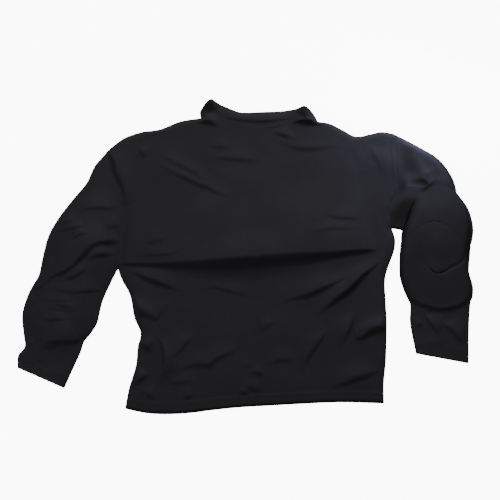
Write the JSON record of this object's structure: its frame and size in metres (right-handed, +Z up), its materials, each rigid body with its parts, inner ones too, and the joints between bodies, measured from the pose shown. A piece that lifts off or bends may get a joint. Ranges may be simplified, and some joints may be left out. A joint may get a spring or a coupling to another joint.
{
  "type": "padded compression shirt",
  "caption": "Long-sleeved stretch shirt with a mock collar and sewn pads on shoulders, elbows and forearms, laid flat with its back up.",
  "frame": {"origin": "on the surface under the middle of the laid-out shirt's bounding box", "axes": "+Z up; +Y from the hem towards the collar; +X towards the sleeve whose pads lie upward"},
  "size_m": [0.8058, 0.618, 0.0248],
  "materials": {
    "cloth": "near-black stretch jersey with a soft low sheen",
    "pad_cover": "near-black stretch jersey pulled smooth over foam"
  },
  "bodies": {
    "root": {"front_panel": "cloth", "back_panel": "cloth", "left_sleeve": "cloth", "right_sleeve": "cloth", "collar_band": "cloth", "left_shoulder_pad": "pad_cover", "left_elbow_pad": "pad_cover", "left_forearm_pad": "pad_cover", "right_shoulder_pad": "pad_cover", "right_upper_arm_pad": "pad_cover", "right_elbow_pad": "pad_cover", "right_elbow_cup": "pad_cover", "right_forearm_pad": "pad_cover"}
  },
  "joints": []
}
